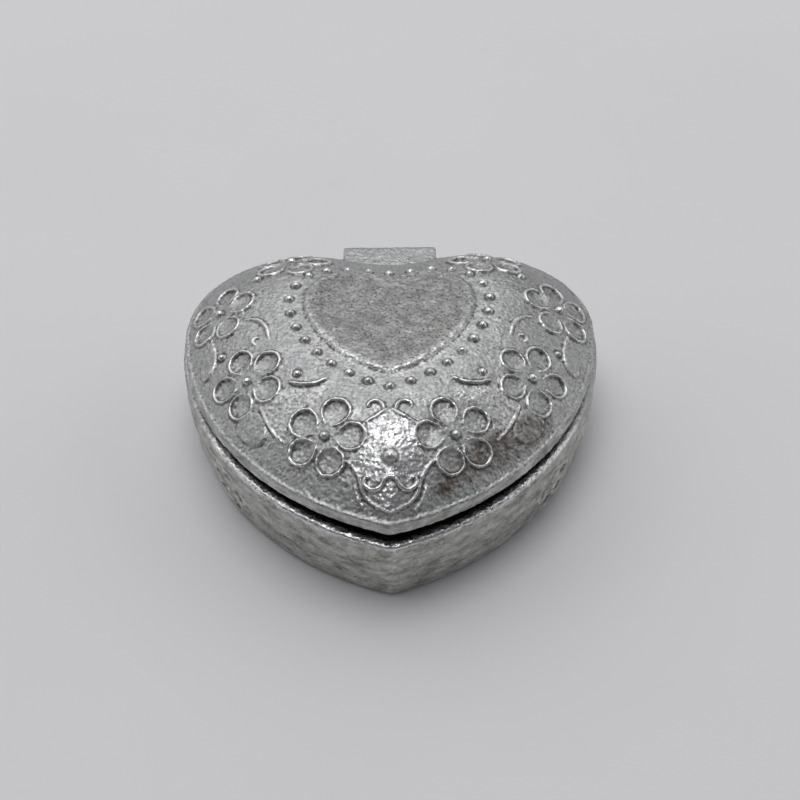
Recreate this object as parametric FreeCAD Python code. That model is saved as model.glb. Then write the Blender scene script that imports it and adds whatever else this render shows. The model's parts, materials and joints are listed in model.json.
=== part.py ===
# Heart-shaped trinket box: cast base, cast lid and steel hinge pin, one STEP file each
import FreeCAD, Part
import math
import os
from FreeCAD import Vector

os.makedirs("parts", exist_ok=True)

# Lid outline seen from above, a heart of tangent arcs with its tip towards -Y
lid_width = 75.0
lid_length = 70.6
lobe_radius = 22.2
side_radius = 52.0
tip_radius = 2.0
cleft_depth = 2.6

# Lid casting: an upright rim band, a narrow ledge, then a dome that flattens towards its top
lid_wall = 1.6
rim_band_height = 2.5
rim_ledge = 0.7
dome_rise = 9.5
dome_run = 22.0
dome_top_inset = 17.0
dome_top_tip_radius = 9.0
dome_section_shares = (0.0, 0.25, 0.5, 0.75, 1.0)

# Base casting: a tub that widens upwards to a rim a little larger than the lid
base_height = 14.6
base_margin = 0.8
base_taper = 1.6
base_wall = 2.2
base_floor = 2.2
base_foot_tip_radius = 3.0
base_foot_round = 0.6
base_section_shares = (0.0, 0.35, 0.7, 1.0)

# Hinge: the base has the middle knuckle, the lid has a tab that covers it, with an ear below on each side
hinge_width = 18.0
hinge_setback = 1.9
tab_radius = 2.1
heel_reach = 1.7
knuckle_radius = 1.25
knuckle_width = 8.0
knuckle_side_gap = 0.2
knuckle_swing_gap = 0.2
slot_lift = 0.45
tab_corner_radius = 1.5
tab_root_depth = 3.2
axis_above_lid_edge = 0.2
bracket_drop = 5.0
bracket_root_depth = 1.4
pin_diameter = 1.2
pin_length = 17.2
pin_tight_gap = 0.01
pin_running_gap = 0.05

# The lid rests slightly open: its edge clears the base rim and it is turned up about the hinge
lid_seat_gap = 0.2
lid_rest_angle = 1.6

# Raised heart panel on top of the lid, and the ring of beads round it
panel_width = 31.0
panel_length = 27.8
panel_lobe_radius = 8.6
panel_side_radius = 24.0
panel_tip_radius = 1.5
panel_cleft_depth = 2.9
panel_height = 1.0
panel_edge_round = 0.7
panel_root = 0.8
panel_forward = 2.8
ring_width = 36.0
ring_length = 33.4
ring_lobe_radius = 11.1
ring_side_radius = 28.0
ring_tip_radius = 4.0
ring_cleft_depth = 1.2
bead_radius = 0.85
bead_lift = 0.15
bead_count = 28

# Five-petal flowers: their places on the lid are shares of its half width and of its length,
# measured from the lobe centres on the right half
petal_count = 5
petal_radius = 2.5
petal_reach = 4.8
petal_height = 0.7
petal_rim = 0.45
petal_dish = 0.45
petal_root = 0.8
flower_eye_radius = 0.9
lid_flower_shares = ((0.29, -0.474), (0.658, -0.273), (0.82, -0.008), (0.485, 0.17))
base_flower_scale_share = 0.62
base_flower_height = 6.2
base_flower_station_count = 26
base_flower_side_count = 4

# Small helper lengths: how far cutters run past a face, and how high a probe point starts above a skin
overrun = 1.0
probe_lift = 1.0

# Heights and places that follow from the sizes above
lid_edge_z = base_height + lid_seat_gap
band_top_z = lid_edge_z + rim_band_height
hinge_z = lid_edge_z + axis_above_lid_edge
front_reach = lid_length - lobe_radius + base_margin
back_reach = lobe_radius + hinge_setback + tab_radius
lobe_y = (front_reach - back_reach) / 2
hinge_y = lobe_y + lobe_radius + hinge_setback
half_hinge = hinge_width / 2
half_knuckle = knuckle_width / 2
half_slot = half_knuckle + knuckle_side_gap
pin_radius = pin_diameter / 2
along_x = Vector(1, 0, 0)
up = Vector(0, 0, 1)


class Heart:
    """Arc centres of a heart outline whose lobe centres lie on the line y = middle_y."""

    def __init__(self, width, length, lobe_r, side_r, tip_r, cleft, middle_y):
        self.middle_y = middle_y
        self.lobe_r = lobe_r
        self.side_r = side_r
        self.lobe_x = width / 2 - lobe_r
        self.cleft_r = (self.lobe_x ** 2 + cleft ** 2) / (2 * cleft) - lobe_r
        self.cleft_y = lobe_r - cleft + self.cleft_r
        # The side arc touches the lobe arc and the tip arc from outside, so its centre is known
        tip_y = lobe_r - length + tip_r
        lobe_gap = side_r - lobe_r
        tip_gap = side_r - tip_r
        span = math.hypot(self.lobe_x, tip_y)
        along = (lobe_gap ** 2 - tip_gap ** 2 + span ** 2) / (2 * span)
        across = math.sqrt(lobe_gap ** 2 - along ** 2)
        self.side_x = self.lobe_x - self.lobe_x / span * along + tip_y / span * across
        self.side_y = tip_y / span * along + self.lobe_x / span * across

    def wire(self, inset, tip_r, height):
        """Closed outline drawn inside the heart by inset, starting at the tip, with its own tip radius."""
        lobe_r = self.lobe_r - inset
        side_r = self.side_r - inset
        cleft_r = self.cleft_r + inset
        tip_y = self.side_y - math.sqrt((side_r - tip_r) ** 2 - self.side_x ** 2)

        def at(x, y, radius, angle):
            return Vector(x + radius * math.cos(angle), y + self.middle_y + radius * math.sin(angle), height)

        down = -math.pi / 2
        to_tip = math.atan2(tip_y - self.side_y, -self.side_x)
        to_lobe = math.atan2(-self.side_y, self.lobe_x - self.side_x)
        to_cleft = math.atan2(self.cleft_y, -self.lobe_x)
        lobe_middle = (to_lobe + to_cleft) / 2
        back_angle = to_cleft - math.pi
        arcs = (
            (0, tip_y, tip_r, down, to_tip),
            (self.side_x, self.side_y, side_r, to_tip, to_lobe),
            (self.lobe_x, 0, lobe_r, to_lobe, lobe_middle),
            (self.lobe_x, 0, lobe_r, lobe_middle, to_cleft),
            (0, self.cleft_y, cleft_r, back_angle, down),
        )
        right = []
        for x, y, radius, first, last in arcs:
            middle = (first + last) / 2
            right.append((at(x, y, radius, first), at(x, y, radius, middle), at(x, y, radius, last)))
        left = []
        for start, middle, end in reversed(right):
            left.append([Vector(-point.x, point.y, point.z) for point in (end, middle, start)])
        return Part.Wire([Part.Arc(*points).toShape() for points in right + left])


def x_cylinder(radius, length, y, z):
    """Cylinder along X, centred on x = 0."""
    return Part.makeCylinder(radius, length, Vector(-length / 2, y, z), along_x)


def x_prism(points, first_x, last_x):
    """Solid between two X planes whose outline is given as (y, z) points."""
    corners = [Vector(first_x, y, z) for y, z in points]
    face = Part.Face(Part.makePolygon(corners + corners[:1]))
    return face.extrude(Vector(last_x - first_x, 0, 0))


def drop_on(solid, x, y, top_z):
    """Point on the upper skin of a solid straight below (x, y)."""
    inside = solid.common(Part.makeLine(Vector(x, y, 0), Vector(x, y, top_z)))
    return max((vertex.Point for vertex in inside.Vertexes), key=lambda point: point.z)


def seat(skin, point):
    """Nearest place on a skin to a point outside it, and the direction away from the skin."""
    foot = Part.Vertex(point).distToShape(skin)[1][0][1]
    away = point - foot
    return foot, away.normalize()


def flower(skin, centre, out, towards, share):
    """Separate dished petals round a bead, each seated on the skin in its own direction."""
    first = (towards - out * towards.dot(out)).normalize()
    second = out.cross(first)
    lift = out * probe_lift
    radius = petal_radius * share
    root = petal_root * share
    dish_radius = radius - petal_rim * share
    ball = (dish_radius ** 2 + (petal_dish * share) ** 2) / (2 * petal_dish * share)
    pieces = []
    for index in range(petal_count):
        angle = 2 * math.pi * index / petal_count
        spoke = first * math.cos(angle) + second * math.sin(angle)
        foot, away = seat(skin, centre + spoke * (petal_reach * share) + lift)
        puck = Part.makeCylinder(radius, root + petal_height * share, foot - away * root, away)
        top = foot + away * (petal_height * share)
        pieces.append(puck.cut(Part.makeSphere(ball, top + away * (ball - petal_dish * share), away)))
    pieces.append(Part.makeSphere(flower_eye_radius * share, centre, out))
    return pieces


# Outlines
rim = Heart(lid_width, lid_length, lobe_radius, side_radius, tip_radius, cleft_depth, lobe_y)
panel = Heart(panel_width, panel_length, panel_lobe_radius, panel_side_radius, panel_tip_radius,
              panel_cleft_depth, lobe_y - panel_forward)
bead_ring = Heart(ring_width, ring_length, ring_lobe_radius, ring_side_radius, ring_tip_radius,
                  ring_cleft_depth, lobe_y - panel_forward)


def dome_wires(extra_inset, drop):
    """Heart sections of the dome from the ledge to its flat top, moved inwards and down for the inside."""
    wires = []
    for share in dome_section_shares:
        inset = rim_ledge + (dome_top_inset - rim_ledge) * share
        height = band_top_z - drop + dome_height(inset)
        tip_r = tip_radius + (dome_top_tip_radius - tip_radius) * share
        wires.append(rim.wire(inset + extra_inset, tip_r, height))
    return wires


def dome_height(inset):
    """Rise of the dome above the rim band at a distance inside the outline."""
    level_share = 1 - (inset - rim_ledge) / (dome_run - rim_ledge)
    return dome_rise * (1 - level_share ** 2)


# Lid casting without its relief
band = Part.Face(rim.wire(0, tip_radius, lid_edge_z)).extrude(up * rim_band_height)
dome = Part.makeLoft(dome_wires(0, 0), True)
inner_wires = dome_wires(lid_wall, lid_wall)
inner_dome = Part.makeLoft(inner_wires, True)
mouth_depth = rim_band_height - lid_wall + overrun
mouth = Part.Face(inner_wires[0]).extrude(up * -mouth_depth)
shell = band.fuse(dome)
top_z = band_top_z + dome_height(dome_top_inset)

# Lid hinge: a tab rolled over the pin, a square heel below each ear, and the slot for the base knuckle
tab_front = lobe_y + lobe_radius - tab_root_depth
tab_back = hinge_y + tab_radius
tab = x_prism(((tab_front, lid_edge_z), (hinge_y, lid_edge_z), (hinge_y, hinge_z + tab_radius),
               (tab_front, band_top_z)), -half_hinge, half_hinge)
heel = ((hinge_y, hinge_z), (hinge_y, hinge_z - heel_reach),
        (hinge_y + heel_reach, hinge_z - heel_reach), (hinge_y + heel_reach, hinge_z))
above_pin = Part.makeBox(hinge_width, 2 * tab_radius, tab_radius, Vector(-half_hinge, hinge_y - tab_radius, hinge_z))
roll = x_cylinder(tab_radius, hinge_width, hinge_y, hinge_z).common(above_pin)
ear = x_cylinder(heel_reach, hinge_width, hinge_y, hinge_z).fuse(x_prism(heel, -half_hinge, half_hinge))
tab = tab.fuse([roll, ear])
slot_radius = knuckle_radius + knuckle_swing_gap
slot_below = Part.makeBox(2 * half_slot, 2 * tab_radius + overrun, tab_radius + slot_lift + overrun,
                          Vector(-half_slot, hinge_y - tab_radius, hinge_z - tab_radius - overrun))
tab = tab.cut([x_cylinder(slot_radius, 2 * half_slot, hinge_y, hinge_z), slot_below])
plan = Part.makeBox(hinge_width, tab_back - tab_front, band_top_z + tab_radius, Vector(-half_hinge, tab_front, 0))
back_edges = [edge for edge in plan.Edges
              if edge.BoundBox.YMin > hinge_y and edge.BoundBox.ZLength > rim_band_height]
tab = tab.common(plan.makeFillet(tab_corner_radius, back_edges))

# Relief of the lid: heart panel, bead ring and flowers
pad = Part.Face(panel.wire(0, panel_tip_radius, top_z - panel_root)).extrude(up * (panel_root + panel_height))
pad_top = [edge for edge in pad.Edges if edge.BoundBox.ZMin > top_z]
relief = [pad.makeFillet(panel_edge_round, pad_top)]
ring_wire = bead_ring.wire(0, ring_tip_radius, top_z + probe_lift)
for point in ring_wire.discretize(Number=bead_count + 1)[:-1]:
    foot, away = seat(shell, point)
    relief.append(Part.makeSphere(bead_radius, foot + away * bead_lift, away))
for across_share, forward_share in lid_flower_shares:
    for side in (-1, 1):
        flower_x = side * across_share * lid_width / 2
        centre = drop_on(shell, flower_x, lobe_y + forward_share * lid_length, top_z)
        out = seat(shell, centre + up * probe_lift)[1]
        relief += flower(shell, centre, out, up, 1)
lid = shell.cut([inner_dome, mouth]).fuse([tab] + relief)
lid_bore = x_cylinder(pin_radius + pin_running_gap, hinge_width + overrun, hinge_y, hinge_z)
lid = lid.cut(lid_bore)
lid.rotate(Vector(0, hinge_y, hinge_z), along_x, -lid_rest_angle)

# Base casting: tub with a level floor
outer_wires = []
inner_base_wires = []
for share in base_section_shares:
    inset = base_taper * (1 - share) ** 2 - base_margin
    tip_r = base_foot_tip_radius + (tip_radius + base_margin - base_foot_tip_radius) * share
    outer_wires.append(rim.wire(inset, tip_r, base_height * share))
    inside_z = base_floor + (base_height - base_floor) * share
    inner_base_wires.append(rim.wire(inset + base_wall, tip_r, inside_z))
tub = Part.makeLoft(outer_wires, True)
foot_edges = [edge for edge in tub.Edges if edge.BoundBox.ZMax < base_floor]
tub = tub.makeFillet(base_foot_round, foot_edges)
base_mouth = Part.Face(inner_base_wires[-1]).extrude(up * overrun)
base_inside = [Part.makeLoft(inner_base_wires, True), base_mouth]

# Base hinge knuckle on a bracket that runs down the back wall
cleft_wall_y = lobe_y + lobe_radius - cleft_depth + base_margin
bracket_top = hinge_z - axis_above_lid_edge - lid_seat_gap
bracket_front = cleft_wall_y - bracket_root_depth
bracket = x_prism(((bracket_front, bracket_top), (hinge_y, bracket_top), (hinge_y, hinge_z - knuckle_radius),
                   (cleft_wall_y, hinge_z - knuckle_radius - bracket_drop),
                   (bracket_front, hinge_z - knuckle_radius - bracket_drop)), -half_knuckle, half_knuckle)
knuckle = x_cylinder(knuckle_radius, knuckle_width, hinge_y, hinge_z)

# Relief of the base: smaller flowers along the wall, clear of the hinge
base_relief = []
wall_wire = rim.wire(-base_margin, tip_radius + base_margin, base_flower_height)
stations = wall_wire.discretize(Number=base_flower_station_count + 1)
for index in range(base_flower_side_count):
    station = 2 * (index + 2)
    for probe in (stations[station], stations[-1 - station]):
        centre, out = seat(tub, probe)
        base_relief += flower(tub, centre, out, up, base_flower_scale_share)
base = tub.cut(base_inside).fuse([bracket, knuckle] + base_relief)
base = base.cut(x_cylinder(pin_radius + pin_tight_gap, hinge_width, hinge_y, hinge_z))

# Hinge pin, held in the base knuckle and turning in the lid ears
hinge_pin = x_cylinder(pin_radius, pin_length, hinge_y, hinge_z)

base.exportStep("parts/base.step")
lid.exportStep("parts/lid.step")
hinge_pin.exportStep("parts/hinge_pin.step")
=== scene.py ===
# %% [markdown]
# # A heart-shaped trinket box
# The box is two aluminium castings and a steel pin: a tub, a domed lid full of ornament, and the pin of
# the hinge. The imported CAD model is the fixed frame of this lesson. It says how big each piece is, where
# it sits and how it moves. Blender then gives the castings what a plain solid lacks: soft cast edges,
# worn petals, scrolls, pits and file marks.

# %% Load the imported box
import bpy
import bmesh
import json
import math
import random
import numpy as np
from mathutils import Matrix, Vector

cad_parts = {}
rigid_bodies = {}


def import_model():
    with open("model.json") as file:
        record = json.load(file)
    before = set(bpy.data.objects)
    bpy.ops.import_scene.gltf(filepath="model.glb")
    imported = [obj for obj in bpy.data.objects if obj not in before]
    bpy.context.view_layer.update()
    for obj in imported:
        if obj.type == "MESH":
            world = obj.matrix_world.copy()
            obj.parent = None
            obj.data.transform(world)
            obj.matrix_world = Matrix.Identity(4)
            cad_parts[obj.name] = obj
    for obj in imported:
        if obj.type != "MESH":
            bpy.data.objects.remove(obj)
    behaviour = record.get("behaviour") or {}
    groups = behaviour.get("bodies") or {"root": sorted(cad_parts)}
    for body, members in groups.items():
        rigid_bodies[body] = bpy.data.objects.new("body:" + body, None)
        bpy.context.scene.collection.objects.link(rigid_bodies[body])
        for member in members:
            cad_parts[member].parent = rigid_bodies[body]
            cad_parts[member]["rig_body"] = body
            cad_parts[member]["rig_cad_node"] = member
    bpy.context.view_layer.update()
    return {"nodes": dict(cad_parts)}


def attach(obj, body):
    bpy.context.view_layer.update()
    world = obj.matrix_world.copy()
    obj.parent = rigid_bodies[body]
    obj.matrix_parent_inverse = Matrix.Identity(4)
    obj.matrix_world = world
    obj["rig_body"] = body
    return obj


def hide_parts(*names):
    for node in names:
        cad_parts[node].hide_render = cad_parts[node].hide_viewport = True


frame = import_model()

# %% [markdown]
# ## The view, the floor and the light
# The photo looks down at 45 degrees through a short telephoto lens, with the tip of the heart towards us.
# The floor is a pale card. Polished metal shows the lamps themselves, so these are wide soft boxes that
# stand far off: one overhead, a large panel at the back and one at each side. The slope at the front of
# the dome mirrors what is straight above it, and that is where the real one is brightest.

# %% Camera
mm = 0.001
view_height = math.radians(45)
view_distance = 307 * mm
view_roll = 0.0108
aim = Vector((1.7, 11.3, 0)) * mm
forward = Vector((0, math.cos(view_height), -math.sin(view_height)))
bpy.ops.object.camera_add()
camera = bpy.context.object
camera.data.lens = 72
camera.data.sensor_width = 36
camera.data.clip_start = 0.01
tilt = Matrix.Rotation(math.pi / 2 - view_height, 4, "X") @ Matrix.Rotation(-view_roll, 4, "Z")
camera.matrix_world = Matrix.Translation(aim - forward * view_distance) @ tilt
bpy.context.scene.camera = camera
bpy.context.scene.view_settings.view_transform = "Standard"
print("camera at", tuple(round(value, 3) for value in camera.location))


# %% Colours and nodes
def linear(code):
    """Scene-linear colour of an sRGB hex code."""
    colour = []
    for start in (1, 3, 5):
        share = int(code[start:start + 2], 16) / 255
        colour.append(share / 12.92 if share <= 0.04045 else ((share + 0.055) / 1.055) ** 2.4)
    return colour + [1.0]


def add_node(tree, kind, inputs=None, out=0, **settings):
    """Shader node with its settings and links. Gives the output asked for, to link from."""
    made = tree.nodes.new("ShaderNode" + kind)
    for name, value in settings.items():
        setattr(made, name, value)
    for name, value in (inputs or {}).items():
        if isinstance(value, bpy.types.NodeSocket):
            tree.links.new(value, made.inputs[name])
        else:
            made.inputs[name].default_value = value
    return made.outputs[out] if made.outputs else made


# What each Mix node needs when it mixes colours instead of numbers.
in_colour = {"out": "Result", "data_type": "RGBA"}


def new_material(name):
    """Empty material and its node tree."""
    made = bpy.data.materials.new(name)
    made.use_nodes = True
    made.node_tree.nodes.clear()
    return made, made.node_tree


# %% Floor
# Matt card scatters light evenly: it has no shine, only faint clouds about 70 mm wide, 14 to a metre.
paper, tree = new_material("pale_matt_card")
where = add_node(tree, "TexCoord", out="Object")
cloud = add_node(tree, "TexNoise", {"Vector": where, "Scale": 14.0, "Detail": 3.0})
tone = add_node(tree, "Mix", {"Factor": cloud, "A": linear("#e1e0e3"), "B": linear("#e7e6e9")}, **in_colour)
shader = add_node(tree, "BsdfPrincipled", {"Base Color": tone, "Roughness": 0.85})
add_node(tree, "OutputMaterial", {"Surface": shader})
bpy.ops.object.select_all(action="DESELECT")
bpy.ops.mesh.primitive_plane_add(size=6)
floor = bpy.context.object
floor.name = "floor"
floor.data.materials.append(paper)

# %% Lamps
world = bpy.data.worlds.new("studio")
bpy.context.scene.world = world
world.use_nodes = True
surround = world.node_tree.nodes["Background"]
surround.inputs["Color"].default_value = linear("#c8c8ca")
surround.inputs["Strength"].default_value = 0.22


def soft_lamp(name, place_mm, aim_mm, width_mm, depth_mm, radiance):
    """Soft box that faces a point. Radiance 1 is as bright as white paper in plain light."""
    bpy.ops.object.light_add(type="AREA", location=Vector(place_mm) * mm)
    lamp = bpy.context.object
    lamp.name = name
    lamp.data.shape = "RECTANGLE"
    lamp.data.size = width_mm * mm
    lamp.data.size_y = depth_mm * mm
    lamp.data.energy = radiance * math.pi * width_mm * depth_mm * mm ** 2
    lamp.rotation_euler = (Vector(aim_mm) - Vector(place_mm)).to_track_quat("-Z", "Y").to_euler()


soft_lamp("overhead_box", (-150, 135, 1860), (0, 0, 15), width_mm=1560, depth_mm=870, radiance=2.4)
soft_lamp("back_panel", (-240, 1350, 1560), (0, 10, 15), width_mm=2700, depth_mm=2400, radiance=0.95)
for name, side, radiance in (("left_panel", -1, 0.6), ("right_panel", 1, 0.7)):
    soft_lamp(name, (side * 1440, 450, 720), (0, 0, 15), 1800, 1320, radiance)
print("floor and lamps are set")

# %% [markdown]
# ## The outline of the heart
# A heart drawn by a maker is a few arcs that run into each other: a tight tip, a long side, a round lobe
# and a small hollow at the back. The same arcs give the rim, the tub and the raised panel, so one
# function draws them all. It can also draw the outline further in, and it spaces its points evenly so
# that rings can be joined point to point.

# %% Heart rings
# A heart is its width, length, lobe radius, side radius, corner radius at the tip, depth of its cleft,
# and the y of the middle of its lobes.
lobe_y = 11.5
lid_heart = (75.0, 70.6, 22.2, 52.0, 2.0, 2.6, lobe_y)
panel_heart = (31.0, 27.8, 8.6, 24.0, 1.5, 2.9, lobe_y - 2.8)
bead_heart = (36.0, 33.4, 11.1, 28.0, 4.0, 1.2, lobe_y - 2.8)
arc_points = 80


def even_points(points, count):
    """Points of a closed line spaced evenly along it."""
    line = np.array(list(points) + [points[0]], float)
    run = np.concatenate([[0], np.cumsum(np.hypot(*np.diff(line, axis=0).T))])
    steps = np.linspace(0, run[-1], count, endpoint=False)
    return np.column_stack([np.interp(steps, run, line[:, axis]) for axis in (0, 1)])


def smooth_line(points, rounds=3):
    """Closed line with its corners cut again and again until it is a soft curve."""
    line = np.array(points, float)
    for step in range(rounds):
        ahead = np.roll(line, -1, axis=0)
        line = np.stack([0.75 * line + 0.25 * ahead, 0.25 * line + 0.75 * ahead], axis=1).reshape(-1, 2)
    return [tuple(point) for point in line]


def inside(outline, x, y):
    """True where points of the plan lie inside a closed line."""
    within = np.zeros(len(x), bool)
    for (x1, y1), (x2, y2) in zip(outline, list(outline[1:]) + [outline[0]]):
        if y1 != y2:
            crosses = ((y1 > y) != (y2 > y)) & (x < x1 + (x2 - x1) * (y - y1) / (y2 - y1))
            within ^= crosses
    return within


def heart_points(heart, inset, tip_radius, count):
    """Heart outline in plan, drawn inside by inset, from the tip round to the right."""
    width, length, lobe_radius, side_radius, corner_radius, cleft_depth, middle_y = heart
    lobe_x = width / 2 - lobe_radius
    cleft_radius = (lobe_x ** 2 + cleft_depth ** 2) / (2 * cleft_depth) - lobe_radius
    cleft_y = lobe_radius - cleft_depth + cleft_radius
    corner_y = lobe_radius - length + corner_radius
    span = math.hypot(lobe_x, corner_y)
    along = ((side_radius - lobe_radius) ** 2 - (side_radius - corner_radius) ** 2 + span ** 2) / (2 * span)
    across = math.sqrt((side_radius - lobe_radius) ** 2 - along ** 2)
    side_x = lobe_x - lobe_x / span * along + corner_y / span * across
    side_y = corner_y / span * along + lobe_x / span * across
    tip_y = side_y - math.sqrt((side_radius - inset - tip_radius) ** 2 - side_x ** 2)
    to_tip = math.atan2(tip_y - side_y, -side_x)
    to_lobe = math.atan2(-side_y, lobe_x - side_x)
    to_cleft = math.atan2(cleft_y, -lobe_x)
    arcs = ((0, tip_y, tip_radius, -math.pi / 2, to_tip),
            (side_x, side_y, side_radius - inset, to_tip, to_lobe),
            (lobe_x, 0, lobe_radius - inset, to_lobe, to_cleft),
            (0, cleft_y, cleft_radius + inset, to_cleft - math.pi, -math.pi / 2))
    half = []
    for x, y, radius, first, last in arcs:
        for angle in np.linspace(first, last, arc_points):
            half.append((x + radius * math.cos(angle), middle_y + y + radius * math.sin(angle)))
    return even_points(half + [(-x, y) for x, y in reversed(half)], count)


def heart_ring(heart, inset, tip_radius, height, count=360):
    """Heart outline as points in space at one height."""
    return [(x, y, height) for x, y in heart_points(heart, inset, tip_radius, count)]


# %% [markdown]
# ## Lofting and joining
# The tub, the lid, the panel and the pads are all skins through a stack of rings. By hand that is a
# circle added for each ring, its points moved into place, and Bridge Edge Loops from ring to ring, with a
# face at each end. The castings are modelled in millimetres, which suits Blender's tools better than such
# small numbers of metres.

# %% Modelling helpers
def only(piece):
    """Select one object alone and make it the active one."""
    bpy.ops.object.select_all(action="DESELECT")
    piece.select_set(True)
    bpy.context.view_layer.objects.active = piece


def pick_points(piece, first, last):
    """Select a run of points by number in edit mode, with the edges between them."""
    bpy.ops.mesh.select_all(action="DESELECT")
    skin = bmesh.from_edit_mesh(piece.data)
    skin.verts.ensure_lookup_table()
    for index in range(first, last):
        skin.verts[index].select = True
    skin.select_flush(True)
    bmesh.update_edit_mesh(piece.data)


def loft(name, rings):
    """Closed skin through rings of equal point count."""
    count = len(rings[0])
    bpy.ops.object.select_all(action="DESELECT")
    bpy.ops.mesh.primitive_circle_add(vertices=count)
    piece = bpy.context.object
    piece.name = name
    bpy.ops.object.mode_set(mode="EDIT")
    for ring in rings[1:]:
        bpy.ops.mesh.primitive_circle_add(vertices=count)
    bpy.ops.object.mode_set(mode="OBJECT")
    points = np.array([tuple(point) for ring in rings for point in ring], np.float32)
    piece.data.vertices.foreach_set("co", points.ravel())
    bpy.ops.object.mode_set(mode="EDIT")
    last_ring = (len(rings) - 1) * count
    for first in range(0, last_ring, count):
        pick_points(piece, first, first + 2 * count)
        bpy.ops.mesh.bridge_edge_loops()
    for first in (0, last_ring):
        pick_points(piece, first, first + count)
        bpy.ops.mesh.edge_face_add()
    bpy.ops.mesh.select_all(action="SELECT")
    bpy.ops.mesh.normals_make_consistent(inside=False)
    bpy.ops.object.mode_set(mode="OBJECT")
    return piece


def copy_at(pattern, matrix):
    """Copy of a modelled piece with its own mesh, moved into place."""
    made = pattern.copy()
    made.data = pattern.data.copy()
    made.data.transform(matrix)
    bpy.context.collection.objects.link(made)
    return made


def join_all(main, others):
    """Join other pieces into the main one."""
    only(main)
    for piece in others:
        piece.select_set(True)
    bpy.ops.object.join()
    return main


# %% [markdown]
# ## The bare lid
# On the real lid an upright band runs round the rim, then a narrow ledge, then the dome. Its inside
# follows the same shape one wall thickness further in. One chain of rings goes from the inside of the
# dome down to the mouth, round the edge and up again over the outside, so the skin is closed and has a
# real thickness.

# %% Lid shell
band_low = 14.8
band_top = 17.3
ledge = 0.7
dome_rise = 9.5
dome_run = 22.0
dome_sections = 13
top_inset = 17.0
wall = 1.6
rim_tip = 2.0
tip_growth = 7.0


def dome_ring(share, deeper):
    """Section of the dome: share 0 is at the ledge and 1 is at its flat top."""
    inset = ledge + (top_inset - ledge) * share
    height = band_top + dome_rise * (1 - (1 - (inset - ledge) / (dome_run - ledge)) ** 2)
    return heart_ring(lid_heart, inset + deeper, rim_tip + tip_growth * share, height - deeper)


def dome_rings(deeper):
    """All sections of the dome, from the ledge up."""
    return [dome_ring(share, deeper) for share in np.linspace(0, 1, dome_sections)]


# Inset and height of each ring round the band, with its two edges rounded.
band_steps = ((ledge + wall, band_low), (0.25, band_low + 0.02), (0.0, band_low + 0.25),
              (0.0, band_top - 0.3), (0.3, band_top - 0.04))
lid_rings = dome_rings(wall)[::-1]
lid_rings += [heart_ring(lid_heart, inset, rim_tip, height) for inset, height in band_steps]
lid_rings += dome_rings(0)
top_height = lid_rings[-1][0][2]
for inset, tip_radius, rise in ((18.4, 9.5, 0.2), (20.4, 10.0, 0.34)):
    lid_rings.append(heart_ring(lid_heart, inset, tip_radius, top_height + rise))
lid = loft("lid_casting", lid_rings)
print("bare lid", len(lid.data.vertices), "points")


# %% Seat for the ornament
above_lid = 60


def seat(surface, point):
    """Nearest place on a bare casting, and the direction out of it there."""
    return surface.closest_point_on_mesh(Vector(point))[1:3]


def drop(x, y):
    """Place on the bare dome straight below a point of the plan, and the direction out of it."""
    return lid.ray_cast(Vector((x, y, above_lid)), Vector((0, 0, -1)))[1:3]


# %% [markdown]
# ## Raised lines
# The ornament was drawn into the mould with round tools, so most of it is thin round lines that stand out
# of the skin. Such a line is a curve with a round bevel, half sunk into the casting, thick in its middle
# and thinner at its ends. Each point of it is laid on the skin first, so the line follows the dome.


# %% Ridges
def rounded_path(points):
    """Open line with its corners cut twice, ends kept."""
    line = np.array(points, float)
    for step in range(2):
        early = 0.75 * line[:-1] + 0.25 * line[1:]
        late = 0.25 * line[:-1] + 0.75 * line[1:]
        cut = np.stack([early, late], axis=1).reshape(-1, line.shape[1])
        line = np.vstack([line[:1], cut, line[-1:]])
    return line


def ridge(name, seats, radius, proud, end_share):
    """Round raised line through seats, which are places on the skin with the direction out of it."""
    bpy.ops.object.select_all(action="DESELECT")
    bpy.ops.curve.primitive_nurbs_path_add()
    curve = bpy.context.object
    curve.name = name
    spline = curve.data.splines[0]
    spline.points.add(len(seats) - len(spline.points))
    for point, (place, out), share in zip(spline.points, seats, np.linspace(0, 1, len(seats))):
        point.co = (*(place + out * proud), 1)
        point.radius = end_share + (1 - end_share) * math.sin(math.pi * share)
    spline.order_u = 3
    spline.use_endpoint_u = True
    spline.resolution_u = 3
    curve.data.bevel_depth = radius
    curve.data.bevel_resolution = 3
    curve.data.use_fill_caps = True
    bpy.ops.object.convert(target="MESH")
    return bpy.context.object


# %% [markdown]
# ## Petals and flowers
# Each flower is five cupped petals round a bead. A petal is a thin lip drawn as a drop, open towards the
# middle of the flower, round a shallow bowl. The lip is a ridge like the others. The bowl is cut later,
# all bowls at once, with a Boolean: here only the round punch for it is made and put in its place.

# %% One bowl and one bead
petal_radius = 2.4
petal_reach = 4.75
bowl_steps = ((2.4, 0.6), (2.25, 0.02), (1.9, -0.17), (1.35, -0.31), (0.7, -0.39), (0.1, -0.41))
collar_steps = ((1.8, 0.5), (1.65, 0.02), (1.35, -0.22), (0.6, -0.3))
punch_sides = 32


def round_punch(name, steps):
    """Punch with a round head: radius and height of each ring, from its top down."""
    turns = np.linspace(0, 2 * math.pi, punch_sides, endpoint=False)
    return loft(name, [[(r * math.cos(turn), r * math.sin(turn), z) for turn in turns] for r, z in steps])


bowl = round_punch("bowl", bowl_steps)
collar = round_punch("collar", collar_steps)
bpy.ops.object.select_all(action="DESELECT")
bpy.ops.mesh.primitive_uv_sphere_add(segments=20, ring_count=10, radius=1)
bead = bpy.context.object
bead.name = "bead"


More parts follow.
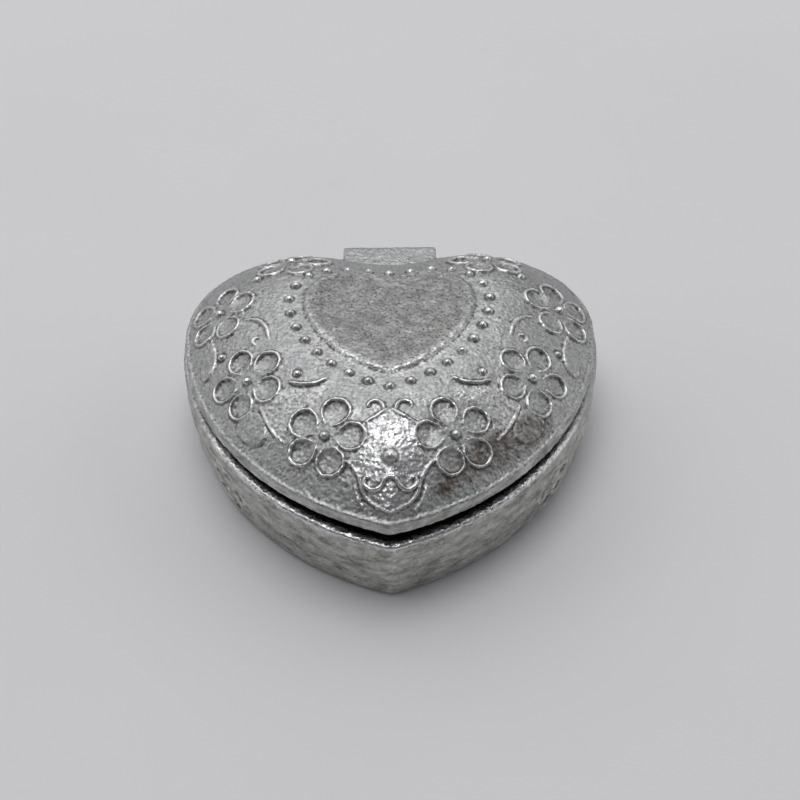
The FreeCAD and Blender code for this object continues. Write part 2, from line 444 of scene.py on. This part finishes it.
def upright(place, out, across):
    """Matrix that stands a piece on a place: its Z goes out of the skin and its X across it."""
    first = (across - out * across.dot(out)).normalized()
    turn = Matrix((first, out.cross(first), out)).transposed().to_4x4()
    return Matrix.Translation(place) @ turn


# %% One flower
# No two petals are quite the same, because they were drawn by hand. The seed repeats them each run.
pulled = random.Random(7)
petal_count = 5
petal_turns = (-3, 3)
petal_sizes = (0.95, 1.05)
lip_shake = 0.07
lip_end = 0.89 * math.pi
lip_points = 27
lip_proud = 0.12
lip_end_share = 0.3
eye_radius = 0.8
eye_proud = 0.15


def petal_lip():
    """Drop-shaped line round the middle of a petal, along and across its spoke, open at the inner end."""
    line = []
    for angle in np.linspace(-lip_end, lip_end, lip_points):
        along = petal_radius * math.cos(angle)
        across = petal_radius * math.sin(angle)
        inward = max(0, -along / petal_radius)
        line.append((along * (1 + 0.15 * inward), across * (1 - 0.25 * inward ** 2)))
    return line


def flower(surface, centre, out, turn, share, lip):
    """Lips and bead of a flower, and the punches of its bowls, laid on the skin."""
    first = Vector((1, 0, 0)) if abs(out.x) < 0.9 else Vector((0, 1, 0))
    first = (first - out * first.dot(out)).normalized()
    second = out.cross(first)
    eye_place = Matrix.Translation(centre + out * eye_proud * share)
    raised = [copy_at(bead, eye_place @ Matrix.Scale(eye_radius * share, 4))]
    punched = []
    for index in range(petal_count):
        angle = math.radians(turn + 360 / petal_count * index + pulled.uniform(*petal_turns))
        spoke = first * math.cos(angle) + second * math.sin(angle)
        side = out.cross(spoke)
        size = share * pulled.uniform(*petal_sizes)
        middle = centre + spoke * petal_reach * share
        seats = []
        for along, across in petal_lip():
            shake = Vector([pulled.uniform(-lip_shake, lip_shake) for axis in range(3)])
            seats.append(seat(surface, middle + (spoke * along + side * across) * size + shake))
        raised.append(ridge("petal_lip", seats, lip, lip_proud, lip_end_share))
        place, away = seat(surface, middle)
        punched.append(copy_at(bowl, upright(place, away, spoke) @ Matrix.Scale(size, 4)))
    return raised, punched


# %% Flowers on the lid
# Place in plan, turn in degrees and lip radius of each flower on the right. The left mirrors them.
lid_flowers = ((10.9, -22.0, 40, 0.31), (24.7, -7.8, -2, 0.31),
               (30.75, 10.9, 28, 0.33), (18.2, 23.5, 34, 0.38))
ornament = []
punches = []
for x, y, turn, lip in lid_flowers:
    for side in (1, -1):
        centre, out = drop(side * x, y)
        raised, punched = flower(lid, centre, out, turn if side > 0 else 180 - turn, 1.0, lip)
        ornament += raised
        punches += punched
print("flower pieces", len(ornament), "and bowls", len(punches))

# %% [markdown]
# ## The heart panel and its beads
# The heart on top is a plain panel. It stands about a millimetre proud with a sloping edge, and a string
# of punched beads runs round it. The panel is the same heart outline in a smaller size, lofted, and the
# beads are spheres set along a slightly larger heart, each in a round hollow.

# %% Panel and bead ring
panel_steps = ((-0.6, -0.8), (-0.4, -0.1), (-0.1, 0.25), (0.2, 0.56),
               (0.5, 0.76), (0.9, 0.84), (1.5, 0.85), (5.0, 0.85))
panel_points = 160
panel_rings = [heart_ring(panel_heart, inset, max(1.6 - inset, 0.3), top_height + rise, panel_points)
               for inset, rise in panel_steps]
ornament.append(loft("panel", panel_rings))
ring_bead = 0.76
ring_count = 28
bead_sunk = -0.15
bead_sizes = (0.93, 1.07)
knob_y = -27.0
bead_places = [(x, y, ring_bead) for x, y in heart_points(bead_heart, 0, 4.0, ring_count)]
for x, y, size in ((15.9, -9.1, 0.68), (29.8, -0.1, 0.75), (24.2, 17.8, 0.75)):
    bead_places += [(x, y, size), (-x, y, size)]
bead_places.append((0, knob_y, 1.3))
for x, y, size in bead_places:
    place, out = drop(x, y)
    stand = upright(place, out, Vector((1, 0, 0)))
    size *= pulled.uniform(*bead_sizes)
    ornament.append(copy_at(bead, stand @ Matrix.Translation((0, 0, bead_sunk)) @ Matrix.Scale(size, 4)))
    punches.append(copy_at(collar, stand @ Matrix.Scale(size, 4)))
print("ornament pieces", len(ornament), "and punches", len(punches))


# %% [markdown]
# ## Leaves, shield and scrolls
# Between the flowers there are low leaves, a shield at the front and thin raised scrolls. A leaf or the
# shield is a low pad: its outline in plan shrinks ring by ring, and each ring is dropped on the dome. A
# scroll is a ridge, as the lips of the petals are.

# %% Pads
pad_steps = ((1.05, -0.6), (1.02, 0.1), (0.98, 0.65), (0.92, 0.95),
             (0.8, 1.0), (0.55, 1.0), (0.3, 1.0), (0.08, 1.0))
pad_points = 96


def pad(name, outline, rise):
    """Low cushion with a rounded edge that follows the curve of the dome."""
    line = even_points(smooth_line(outline, 2), pad_points)
    centre = line.mean(axis=0)
    rings = []
    for share, lift in pad_steps:
        ring = []
        for x, y in centre + (line - centre) * share:
            place, out = drop(x, y)
            ring.append(place + out * (lift * rise if lift > 0 else lift))
        rings.append(ring)
    return loft(name, rings)


# %% Leaves and shield
shield = ((0, -18.6), (0.9, -19.4), (2.4, -20.3), (4.3, -21.4), (4.4, -23.0), (4.8, -25.0), (5.7, -26.1),
          (7.2, -26.7), (6.0, -27.7), (5.2, -29.2), (4.6, -31.2), (3.9, -32.6), (2.0, -34.0), (0, -35.0))
fan = ((10.6, -12.3), (12.8, -12.8), (15.0, -12.5), (17.2, -11.6), (20.0, -12.4), (22.1, -13.8),
       (20.9, -16.8), (19.3, -19.4), (18.1, -20.8), (17.5, -19.0), (16.7, -17.2), (15.0, -16.2),
       (12.8, -15.5), (11.0, -14.2))
leaf = ((22.6, -14.0), (21.2, -16.8), (20.7, -18.8), (21.5, -20.1),
        (23.1, -19.9), (25.2, -18.0), (26.6, -15.6), (25.6, -13.6))
rim_leaf = ((31.7, 5.2), (30.7, 2.0), (30.5, -1.2), (31.8, -3.6), (33.2, -3.4), (33.7, -0.6), (33.0, 2.6))
for side in (1, -1):
    for name, outline, rise in (("fan", fan, 0.16), ("leaf", leaf, 0.3), ("rim_leaf", rim_leaf, 0.4)):
        ornament.append(pad(name, [(side * x, y) for x, y in outline], rise))
whole_shield = list(shield) + [(-x, y) for x, y in reversed(shield[1:-1])]
ornament.append(pad("shield", whole_shield, 0.24))

# %% Scrolls
# Name, path in plan on the right half, radius, and how far the middle of the line stands out of the skin.
ridges = (
    ("fan_edge", ((10.6, -11.3), (12.6, -12.0), (14.8, -11.8), (17.3, -10.5)), 0.42, 0.12),
    ("fan_side", ((22.2, -13.6), (20.9, -16.8), (19.4, -19.3), (18.1, -21.0)), 0.3, 0.1),
    ("shield_arm", ((0.3, -18.7), (1.2, -19.3), (2.5, -20.2), (4.4, -21.2)), 0.34, 0.14),
    ("shield_curl", ((0.9, -19.0), (1.1, -17.9), (1.7, -17.1), (2.7, -16.9), (3.6, -17.4), (3.7, -18.2)),
     0.34, 0.12),
    ("shield_edge", ((7.3, -26.6), (6.1, -27.8), (5.2, -29.3), (4.6, -31.3), (3.9, -32.7), (2.0, -34.1),
                     (0.0, -35.0)), 0.3, 0.14),
    ("shield_outline", ((5.9, -30.4), (5.4, -32.3), (4.0, -34.3)), 0.24, 0.08),
    ("shield_scroll", ((0.0, -30.0), (0.9, -30.2), (1.3, -31.2), (2.4, -31.8), (3.6, -31.4), (4.4, -30.4),
                       (4.0, -29.6), (3.3, -29.9)), 0.34, 0.34),
    ("side_scroll", ((25.8, 6.5), (23.4, 5.6), (21.7, 3.2), (21.2, 0.4)), 0.42, 0.0),
    ("side_curl", ((22.6, 0.9), (23.7, 1.1), (24.3, 0.4), (23.6, -0.5)), 0.38, 0.0),
    ("rim_vein", ((31.8, 5.2), (32.0, 1.6), (32.3, -3.4)), 0.32, 0.12),
)
scroll_end_share = 0.5
for name, path, radius, proud in ridges:
    for side in (1, -1):
        seats = [drop(side * x, y) for x, y in rounded_path(path)]
        ornament.append(ridge(name, seats, radius, proud, scroll_end_share))
print("ornament pieces", len(ornament))

# %% [markdown]
# ## The hinge
# The tab, the ears and the knuckle are part of the castings, and the CAD model already has their exact
# shape and bore. So a copy of each CAD mesh is cut down to its hinge and joined to the casting, instead
# of modelling it a second time. The lid is modelled shut and turned to its resting place at the end, so
# its hinge part is first turned shut.

# %% Hinge pieces from the CAD
hinge_place = Vector((0, 35.6, 15.0))
rest_turn = math.radians(-1.6)


def hinge_part(node, name, half_width, front_y):
    """Closed copy, in millimetres, of what a CAD node has behind one plane and between two others."""
    made = frame["nodes"][node].copy()
    made.data = made.data.copy()
    made.data.transform(Matrix.Scale(1 / mm, 4))
    made.name = name
    made.parent = None
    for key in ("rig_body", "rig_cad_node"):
        del made[key]
    bpy.context.collection.objects.link(made)
    only(made)
    bpy.ops.object.mode_set(mode="EDIT")
    bpy.ops.mesh.select_all(action="SELECT")
    bpy.ops.mesh.remove_doubles(threshold=0.001)
    cuts = (((0, front_y, 0), (0, -1, 0)),
            ((half_width, 0, 0), (1, 0, 0)),
            ((-half_width, 0, 0), (-1, 0, 0)))
    for place, out in cuts:
        bpy.ops.mesh.select_all(action="SELECT")
        bpy.ops.mesh.bisect(plane_co=place, plane_no=out, use_fill=True, clear_outer=True)
    bpy.ops.object.mode_set(mode="OBJECT")
    return made


at_hinge = Matrix.Translation(hinge_place)
open_turn = at_hinge @ Matrix.Rotation(rest_turn, 4, "X") @ at_hinge.inverted()
lid_hinge = hinge_part("lid", "lid_hinge_part", half_width=9.05, front_y=31.0)
lid_hinge.data.transform(open_turn.inverted())
ornament.append(lid_hinge)
base_hinge = hinge_part("base", "base_hinge_part", half_width=4.05, front_y=30.6)
print("hinge parts", len(lid_hinge.data.vertices), len(base_hinge.data.vertices), "points")

# %% [markdown]
# ## The tub
# The tub widens upwards to a plain filed rim. Low flowers stand on its wall, and files and polishing have
# half worn them away, so here they are smaller than on the lid and have thinner lips.

# %% Tub shell
base_height = 14.6
tub_wall = 2.2
tub_floor = 2.2
foot_inset = 1.6
rim_outset = 0.72
foot_tip = 3.0
tip_change = 0.2


def tub_ring(share, deeper, height):
    """Section of the tub: share 0 is at the foot and 1 is at the rim."""
    inset = foot_inset * (1 - share) ** 2 - rim_outset
    return heart_ring(lid_heart, inset + deeper, foot_tip - tip_change * share, height)


tub_rings = []
for share in np.linspace(0, 1, 8):
    tub_rings.append(tub_ring(share, tub_wall, tub_floor + (base_height - tub_floor) * share))
tub_rings.append(tub_ring(1, 0.35, base_height - 0.02))
for share in np.linspace(0.985, 0.04, 9):
    tub_rings.append(tub_ring(share, 0, base_height * share))
tub_rings.append(tub_ring(0.01, 0.55, 0))
tub = loft("base_casting", tub_rings)

# %% Flowers on the tub
wall_ornament = [base_hinge]
wall_punches = []
wall_stations = 26
flower_height = 6.2
wall_line = heart_points(lid_heart, -0.8, 2.8, wall_stations)
for station in (4, 6, 8, 10):
    for index in (station, wall_stations - station):
        centre, out = seat(tub, (*wall_line[index], flower_height))
        raised, punched = flower(tub, centre, out, turn=18, share=0.7, lip=0.27)
        wall_ornament += raised
        wall_punches += punched
print("tub", len(tub.data.vertices), "points,", len(wall_ornament), "pieces on it")


# %% [markdown]
# ## One pour of metal
# First the punches cut their bowls with one Boolean. A casting has no seams between its ornaments and its
# wall, and Voxel Remesh does what the mould did: it fuses all that overlaps into one skin of even, tiny
# faces. A light smoothing rounds the edges as a mould does, and a slow and a fine cloud pattern push the
# outer skin in and out a little, so reflections wobble. The hinge and the foot are kept true, because
# they have to fit. Only the top of the tab is uneven too, and its two ends are filed round.

# %% Numbers of a mesh
inner_line = [tuple(point) for point in heart_points(lid_heart, wall, 1.2, 240)]
below_floor = 1.5
facing_up = 0.05


def mesh_arrays(piece):
    """Points, directions out of the skin and neighbour pairs of a mesh."""
    points = np.empty(len(piece.data.vertices) * 3)
    piece.data.vertices.foreach_get("co", points)
    normals = np.empty(len(piece.data.vertices) * 3)
    piece.data.vertex_normals.foreach_get("vector", normals)
    edges = np.empty(len(piece.data.edges) * 2, np.int64)
    piece.data.edges.foreach_get("vertices", edges)
    return points.reshape(-1, 3), normals.reshape(-1, 3), edges.reshape(-1, 2).T


def in_hollow(piece, points, normals):
    """True for points of the inside of the box."""
    within = inside(inner_line, points[:, 0], points[:, 1])
    return within & ((normals[:, 2] < facing_up) if piece == lid else (points[:, 2] > below_floor))


# %% Punch, fuse, soften and wobble
waves = []
for name, size, depth in (("slow_wave", 4.0, 3), ("rough_wave", 0.9, 2)):
    wave = bpy.data.textures.new(name, "CLOUDS")
    wave.noise_scale = size
    wave.noise_depth = depth
    waves.append(wave)
wave_depth = 0.22
joint_front = hinge_place.y - 4
joint_half = 11
tab_end_half = 7.2
tab_end_low = hinge_place.z + 1.6
tab_top_low = hinge_place.z + 1.5
true_foot = 0.6


def apply_modifier(piece, kind, **settings):
    """Add a modifier with its settings and apply it."""
    only(piece)
    made = piece.modifiers.new(kind.lower(), kind)
    for name, value in settings.items():
        setattr(made, name, value)
    bpy.ops.object.modifier_apply(modifier=made.name)


def group(piece, name, chosen):
    """Vertex group of the chosen points."""
    piece.vertex_groups.new(name=name).add(np.nonzero(chosen)[0].tolist(), 1.0, "REPLACE")


def pour(piece, raised, punched, grain):
    """Cut the bowls, fuse what is raised at a grain in millimetres, soften and make uneven."""
    punch = join_all(punched[0], punched[1:])
    apply_modifier(piece, "BOOLEAN", operation="DIFFERENCE", solver="EXACT", object=punch)
    bpy.data.objects.remove(punch)
    join_all(piece, raised)
    apply_modifier(piece, "REMESH", mode="VOXEL", voxel_size=grain)
    apply_modifier(piece, "SMOOTH", factor=0.5, iterations=2)
    points, normals = mesh_arrays(piece)[:2]
    off_middle = np.abs(points[:, 0])
    at_joint = (points[:, 1] > joint_front) & (off_middle < joint_half)
    group(piece, "tab_ends", at_joint & (off_middle > tab_end_half) & (points[:, 2] > tab_end_low))
    apply_modifier(piece, "SMOOTH", factor=0.5, iterations=24, vertex_group="tab_ends")
    tab_top = (points[:, 2] > tab_top_low) & (normals[:, 2] > 0.5)
    outside = ~in_hollow(piece, points, normals)
    group(piece, "skin", outside & (tab_top | ~at_joint) & (points[:, 2] > true_foot))
    for wave in waves:
        apply_modifier(piece, "DISPLACE", texture=wave, texture_coords="LOCAL", strength=wave_depth,
                       mid_level=0.5, vertex_group="skin")
    print(piece.name, "fused to", len(piece.data.polygons), "faces")


pour(lid, ornament, punches, grain=0.16)
pour(tub, wall_ornament, wall_punches, grain=0.24)
for pattern in (bowl, collar, bead):
    bpy.data.objects.remove(pattern)


# %% [markdown]
# ## Where the metal is worn, and where shade and highlights are painted
# Handling polishes what stands out, and the corners are darkened by dirt and by painted shade. To know
# which is which, each point is compared with the average of the skin around it: above it is a ridge, below
# it is a corner. The result is kept on the mesh as an attribute, so that the finish can read it. Places
# that were buffed, left matt or stained are marked by their outline, and so is the front of the panel's
# sloping edge, which gets a painted highlight. The rim of the lid is not worn, and that of the tub is
# bright only at the front, as a painted highlight.

# %% Ridges and corners
ridge_reach = 12
hollow_blur = 4
wall_blur = 6
place_blur = 36
rim_low = base_height - 2
rim_wear_and_highlight_from_y = -4
rim_wear_and_highlight_run = 14


def blurred(values, pairs, rounds):
    """Average of a value over the neighbours, repeated to reach further."""
    count = len(values)
    first, second = pairs
    share = np.bincount(first, minlength=count) + np.bincount(second, minlength=count) + 1.0
    for step in range(rounds):
        total = values.copy()
        for axis in range(values.shape[1]):
            total[:, axis] += np.bincount(first, values[second, axis], count)
            total[:, axis] += np.bincount(second, values[first, axis], count)
        values = total / share[:, None]
    return values


def keep(piece, name, values):
    """Store one number per point as a named attribute."""
    made = piece.data.attributes.new(name, "FLOAT", "POINT")
    made.data.foreach_set("value", values.astype(np.float32))


def mark_wear_and_painted_light(piece, places, rim_share):
    """Ridges, upright walls, the inside and marked places of a casting."""
    points, normals, pairs = mesh_arrays(piece)
    ridge_height = ((points - blurred(points, pairs, ridge_reach)) * normals).sum(axis=1)
    rim = ~inside(inner_line, points[:, 0], points[:, 1]) & (points[:, 2] > rim_low)
    # Rim ridges count only towards the front, so the tub's rim is bright there as a painted highlight.
    front = np.clip((rim_wear_and_highlight_from_y - points[:, 1]) / rim_wear_and_highlight_run, 0, 1)
    keep(piece, "ridge", np.where(rim & (ridge_height > 0), rim_share * front, 1) * ridge_height)
    hollow = in_hollow(piece, points, normals)[:, None] * 1.0
    keep(piece, "hollow", blurred(hollow, pairs, hollow_blur)[:, 0])
    upright_share = np.clip((0.65 - np.abs(normals[:, 2])) / 0.3, 0, 1)
    keep(piece, "wall", blurred(upright_share[:, None], pairs, wall_blur)[:, 0])
    for name, outlines in places.items():
        mask = np.zeros((len(points), 1))
        for outline, weight in outlines:
            mask[inside(outline, points[:, 0], points[:, 1]) & (normals[:, 2] > facing_up)] = weight
        keep(piece, name, blurred(mask, pairs, place_blur)[:, 0])
    print(piece.name, "ridges", np.percentile(ridge_height, (1, 5, 50, 95, 99)).round(3), "mm")


# %% Buffed, matt and stained places, and a painted highlight
# The shield and the fans are buffed, but not the shield's knob. The front of the panel's sloping edge gets
# the buffed finish too, as a painted highlight.
stain = ((6.0, -33.0), (12, -29.5), (22, -22.5), (29, -14), (26, -13), (18, -20), (9, -27))
# Outline of the front of the panel's slope, which gets a painted highlight.
slope_lines = []
for inset in (-0.5, 0.9):
    outline = heart_points(panel_heart, inset, 1.0, panel_points)
    slope_lines.append([(x, y) for x, y in outline if x > -0.1 and y < 2])
slope = slope_lines[0] + slope_lines[1][::-1]
knob_radius = 1.7
turns = np.linspace(0, 2 * math.pi, 24, endpoint=False)
knob = [(knob_radius * math.cos(turn), knob_y + knob_radius * math.sin(turn)) for turn in turns]
buffed_and_highlight_places = [(smooth_line(whole_shield, 2), 1.0), (knob, 0.0)]
for side in (1, -1):
    buffed_and_highlight_places.append((smooth_line([(side * x, y) for x, y in fan], 2), 0.55))
    buffed_and_highlight_places.append(([(side * x, y) for x, y in slope], 1.0))
panel_top = [tuple(point) for point in heart_points(panel_heart, 0.9, 0.6, 120)]
lid_places = {"polish_and_highlight": buffed_and_highlight_places, "matt": [(panel_top, 1.0)], "stain": [(smooth_line(stain), 1.0)]}
mark_wear_and_painted_light(lid, lid_places, rim_share=0.0)
mark_wear_and_painted_light(tub, {}, rim_share=1.0)


# %% Thin out, turn and shrink to metres
def finish_casting(piece, turn, triangle_goal):
    """Bring a casting to its triangle count, its resting turn and metres."""
    only(piece)
    ratio = min(1, triangle_goal / (2 * len(piece.data.polygons)))
    apply_modifier(piece, "DECIMATE", ratio=ratio, use_collapse_triangulate=True)
    piece.matrix_world = Matrix.Scale(mm, 4) @ turn
    bpy.ops.object.transform_apply(location=True, rotation=True, scale=True)
    bpy.ops.object.shade_smooth()
    highest = max((point.co for point in piece.data.vertices), key=lambda place: place.z)
    print(piece.name, "has", len(piece.data.polygons), "triangles")
    print("its highest point is", tuple(round(value, 5) for value in highest))


finish_casting(lid, open_turn, triangle_goal=190000)
finish_casting(tub, Matrix.Identity(4), triangle_goal=150000)

# %% [markdown]
# ## Cast aluminium, worn by hand
# Cast aluminium is a soft, bright metal that dulls to grey. Its skin is finely pitted from the mould,
# dirt darkens the pits, the inside is a duller grey, the corners are darkened by dirt and painted shade,
# and handling polishes the ridges until they flash. So the colour, the roughness and the bump all follow
# the ridge attribute, broken up by noise at the size of the real pits, about half a millimetre. The walls
# were filed along the rim, which leaves flakes that are longer than they are high.

# %% Worn cast aluminium: patterns
# Scales are waves in a metre, from sizes in millimetres. The wall's flakes are 1.8 mm by 4 mm.
cast_metal, tree = new_material("worn_cast_aluminium")
where = add_node(tree, "TexCoord", out="Object")
lengthwise = add_node(tree, "Mapping", {"Vector": where, "Scale": (0.45, 0.45, 1.0)})
blotch = add_node(tree, "TexNoise", {"Vector": where, "Scale": 1000 / 9, "Detail": 4.0})
patch = add_node(tree, "TexNoise", {"Vector": where, "Scale": 1000 / 2.2, "Detail": 5.0, "Roughness": 0.62})
grains = add_node(tree, "TexVoronoi", {"Vector": where, "Scale": 1000 / 0.6}, feature="SMOOTH_F1")
speck = add_node(tree, "TexNoise", {"Vector": where, "Scale": 1000 / 0.5, "Detail": 3.0, "Roughness": 0.6})
streak = add_node(tree, "TexNoise", {"Vector": lengthwise, "Scale": 1000 / 1.8, "Detail": 8.0,
                                     "Roughness": 0.74})
ridge_mark = add_node(tree, "Attribute", attribute_name="ridge", out="Fac")
wall_mark = add_node(tree, "Attribute", attribute_name="wall", out="Fac")
polish_and_highlight_mark = add_node(tree, "Attribute", attribute_name="polish_and_highlight", out="Fac")
matt_mark = add_node(tree, "Attribute", attribute_name="matt", out="Fac")
stain_mark = add_node(tree, "Attribute", attribute_name="stain", out="Fac")
hollow_mark = add_node(tree, "Attribute", attribute_name="hollow", out="Fac")

# %% Worn cast aluminium: bright ridges, buffed places and painted highlights
# Ridges are bright in patches, and buffed places in a fine stipple. The bright front of the tub's rim and of
# the panel's slope is a painted highlight. Nothing in a corner is bright.
crest = add_node(tree, "MapRange", {"Value": ridge_mark, "From Min": 0.03, "From Max": 0.085})
broken = add_node(tree, "MapRange", {"Value": patch, "From Min": 0.34, "From Max": 0.52, "To Min": 0.35})
worn = add_node(tree, "Math", {0: crest, 1: broken}, operation="MULTIPLY")
stipple = add_node(tree, "MapRange", {"Value": speck, "From Min": 0.38, "From Max": 0.55})
uneven = add_node(tree, "MapRange", {"Value": patch, "From Min": 0.34, "From Max": 0.54, "To Min": 0.2})
buffed = add_node(tree, "Math", {0: polish_and_highlight_mark, 1: stipple}, operation="MULTIPLY")
buffed = add_node(tree, "Math", {0: buffed, 1: uneven}, operation="MULTIPLY")
bright = add_node(tree, "Math", {0: worn, 1: buffed}, operation="MAXIMUM")
clean = add_node(tree, "MapRange", {"Value": ridge_mark, "From Min": -0.06, "From Max": -0.015})
bright = add_node(tree, "Math", {0: bright, 1: clean}, operation="MULTIPLY")

# %% Worn cast aluminium: dirt and painted corner shade
# Painted shade and dirt darken the corners. Dirt also lies between the flakes, and fills the pits of matt
# and stained places most.
corner = add_node(tree, "MapRange", {"Value": ridge_mark, "From Min": -0.025, "From Max": -0.07,
                                     "To Max": 0.85})
pit = add_node(tree, "MapRange", {"Value": speck, "From Min": 0.45, "From Max": 0.33, "To Max": 0.85})
pitted = add_node(tree, "MapRange", {"Value": patch, "From Min": 0.45, "From Max": 0.62, "To Min": 0.12,
                                     "To Max": 0.7})
pitted = add_node(tree, "Math", {0: pitted, 1: matt_mark}, operation="ADD")
pitted = add_node(tree, "Math", {0: pitted, 1: stain_mark}, operation="ADD", use_clamp=True)
pit = add_node(tree, "Math", {0: pit, 1: pitted}, operation="MULTIPLY")
dirt_and_corner_shade = add_node(tree, "Math", {0: corner, 1: pit}, operation="MAXIMUM")
line = add_node(tree, "MapRange", {"Value": streak, "From Min": 0.46, "From Max": 0.3, "To Max": 0.4})
line = add_node(tree, "Math", {0: line, 1: wall_mark}, operation="MULTIPLY")
dirt_and_corner_shade = add_node(tree, "Math", {0: dirt_and_corner_shade, 1: line}, operation="MAXIMUM")

# %% Worn cast aluminium: colour
dull = add_node(tree, "Mix", {"Factor": blotch, "A": linear("#989b97"), "B": linear("#a7a5aa")}, **in_colour)
shine = add_node(tree, "MapRange", {"Value": speck, "From Min": 0.36, "From Max": 0.66})
tone = add_node(tree, "Mix", {"Factor": shine, "A": dull, "B": linear("#c2c3c3")}, **in_colour)
flake = add_node(tree, "MapRange", {"Value": streak, "From Min": 0.38, "From Max": 0.64})
scaly = add_node(tree, "Mix", {"Factor": flake, "A": linear("#969792"), "B": linear("#dbdcd7")}, **in_colour)
tone = add_node(tree, "Mix", {"Factor": wall_mark, "A": tone, "B": scaly}, **in_colour)
matt_share = add_node(tree, "MapRange", {"Value": patch, "From Min": 0.7, "From Max": 0.36, "To Min": 0.4,
                                         "To Max": 0.72})
matt_share = add_node(tree, "Math", {0: matt_mark, 1: matt_share}, operation="MULTIPLY")
tone = add_node(tree, "Mix", {"Factor": matt_share, "A": tone, "B": linear("#7a7b78")}, **in_colour)
stain_share = add_node(tree, "MapRange", {"Value": patch, "From Min": 0.36, "From Max": 0.58})
stain_share = add_node(tree, "Math", {0: stain_mark, 1: stain_share}, operation="MULTIPLY")
tone = add_node(tree, "Mix", {"Factor": stain_share, "A": tone, "B": linear("#6a605a")}, **in_colour)
# Dirt, and painted shade in the corners, darken the colour here.
tone = add_node(tree, "Mix", {"Factor": dirt_and_corner_shade, "A": tone, "B": linear("#52524e")}, **in_colour)
tone = add_node(tree, "Mix", {"Factor": bright, "A": tone, "B": linear("#e2e2e4")}, **in_colour)
tone = add_node(tree, "Mix", {"Factor": hollow_mark, "A": tone, "B": linear("#868682")}, **in_colour)

# %% Worn cast aluminium: gloss and bump
# The bump is 0.2 mm deep: grains on the ornament, flakes on the walls.
rough = add_node(tree, "MapRange", {"Value": patch, "From Min": 0.36, "From Max": 0.62, "To Min": 0.62,
                                    "To Max": 0.4})
gloss = add_node(tree, "MapRange", {"Value": bright, "To Min": rough, "To Max": 0.26})
height = add_node(tree, "Mix", {"Factor": wall_mark, "A": grains, "B": streak}, out="Result")
relief = add_node(tree, "Bump", {"Height": height, "Strength": 0.65, "Distance": 0.2 * mm})
shader = add_node(tree, "BsdfPrincipled", {"Base Color": tone, "Metallic": 1.0, "Roughness": gloss,
                                           "Normal": relief})
add_node(tree, "OutputMaterial", {"Surface": shader})
for piece in (lid, tub):
    piece.data.materials.clear()
    piece.data.materials.append(cast_metal)
print("worn cast aluminium has", len(tree.nodes), "nodes")

# %% [markdown]
# ## The pin
# The pin is a piece of drawn steel wire. Its CAD shape is right, so it only gets a finish: fine lines
# along the wire, which give it a soft sheen.

# %% Drawn steel
# Real drawing lines are too fine to show, so here they are about 0.17 mm wide and 5 mm long.
pin_metal, tree = new_material("drawn_steel_wire")
where = add_node(tree, "TexCoord", out="Object")
along = add_node(tree, "Mapping", {"Vector": where, "Scale": (200.0, 6000.0, 6000.0)})
lines = add_node(tree, "TexNoise", {"Vector": along, "Scale": 1.0, "Detail": 2.0})
tone = add_node(tree, "Mix", {"Factor": lines, "A": linear("#6f6f6e"), "B": linear("#a9a9a7")}, **in_colour)
shader = add_node(tree, "BsdfPrincipled", {"Base Color": tone, "Metallic": 1.0, "Roughness": 0.34})
add_node(tree, "OutputMaterial", {"Surface": shader})
pin = frame["nodes"]["hinge_pin"]
pin.data.materials.clear()
pin.data.materials.append(pin_metal)

# %% [markdown]
# ## Back to the frame
# Each casting stands for its CAD node and moves with that node's body.

# %% Ride on the frame
for piece, node, body in ((lid, "lid", "lid"), (tub, "base", "base")):
    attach(piece, body)
    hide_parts(node)
